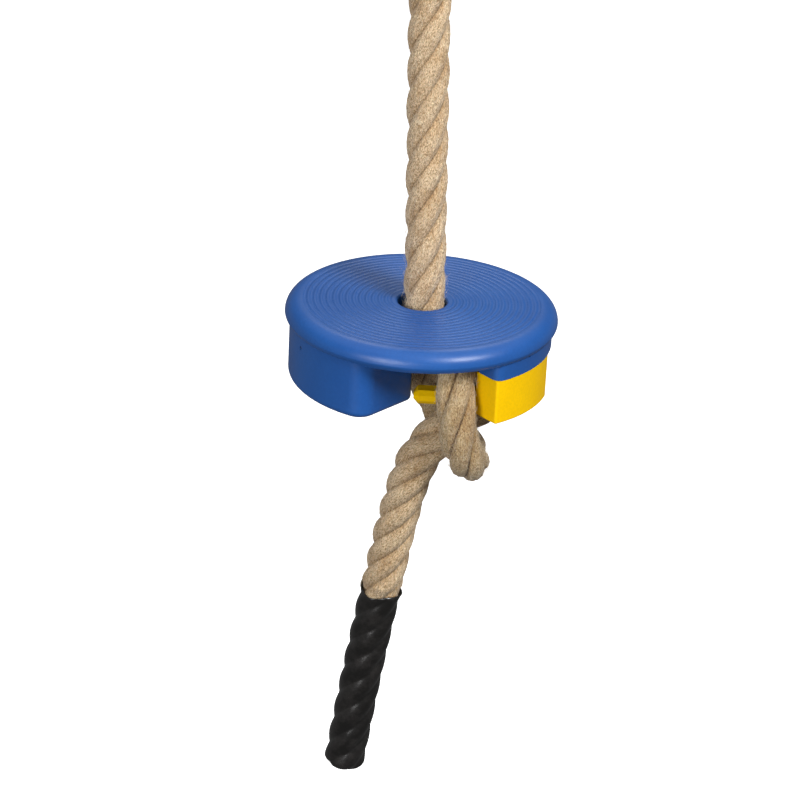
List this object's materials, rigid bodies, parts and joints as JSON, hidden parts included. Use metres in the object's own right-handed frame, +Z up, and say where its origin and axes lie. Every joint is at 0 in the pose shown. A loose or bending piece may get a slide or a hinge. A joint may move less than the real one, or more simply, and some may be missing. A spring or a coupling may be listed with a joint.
{
  "type": "disc rope swing",
  "caption": "Round button seat knotted and locked on the end of a thick laid rope, hung from a swivel clamp under a ceiling bracket.",
  "frame": {"origin": "middle of the ceiling bracket's mounting face", "axes": "+Z up out of the mounting face, +X the way the lock slide pulls out, -Y the seat's open front"},
  "size_m": [0.25, 0.25, 1.0304],
  "materials": {
    "galvanised_steel": "hot-dip galvanised, dull spangle",
    "zinc_hardware": "bright zinc plate",
    "bronze": "plain oiled bronze",
    "hemp_rope": "four-strand laid natural fibre, fuzzy",
    "black_sleeve": "shrunk tubing, semi gloss, follows the strands",
    "blue_plastic": "moulded polyethylene, satin gloss",
    "yellow_plastic": "moulded polyamide, satin",
    "stainless_sheet": "brushed",
    "bearing_steel": "polished ball",
    "dark_rubber": "matt"
  },
  "bodies": {
    "ceiling_mount": {"ceiling_bracket": "galvanised_steel", "hanger_bolt": "zinc_hardware", "hanger_washers": "zinc_hardware", "hanger_nut": "zinc_hardware"},
    "yoke": {"swivel_yoke": "galvanised_steel", "yoke_bushes": "bronze", "thrust_washer": "bronze"},
    "fork": {"swivel_fork": "galvanised_steel", "swivel_nut": "zinc_hardware", "swivel_pin": "zinc_hardware", "fork_bolt": "zinc_hardware", "fork_washers": "zinc_hardware", "fork_nut": "zinc_hardware"},
    "swing_seat": {"clamp_front": "galvanised_steel", "clamp_back": "galvanised_steel", "clamp_bolts": "zinc_hardware", "clamp_washers": "zinc_hardware", "clamp_nuts": "zinc_hardware", "rope_standing": "hemp_rope", "rope_knot": "hemp_rope", "rope_tail": "hemp_rope", "end_sleeve": "black_sleeve", "seat_body": "blue_plastic", "vent_plugs": "dark_rubber", "slide_keeper": "stainless_sheet", "keeper_screws": "stainless_sheet", "stop_screw": "zinc_hardware", "detent_plunger": "bronze", "detent_ball": "bearing_steel"},
    "lock": {"lock_slide": "yellow_plastic"}
  },
  "joints": [
    {"name": "swing_fore_aft", "type": "hinge", "parent": "ceiling_mount", "child": "yoke", "pos_m": [0, 0, -0.034], "axis": [1, 0, 0], "range_deg": [-60, 60]},
    {"name": "swivel_turn", "type": "hinge", "parent": "yoke", "child": "fork", "pos_m": [0, 0, -0.085], "axis": [0, 0, 1], "continuous": true},
    {"name": "swing_sideways", "type": "hinge", "parent": "fork", "child": "swing_seat", "pos_m": [0, 0, -0.126], "axis": [0, 1, 0], "range_deg": [-55, 55]},
    {"name": "lock_pull", "type": "slide", "parent": "swing_seat", "child": "lock", "axis": [1, 0, 0], "range_m": [0, 0.062]}
  ]
}
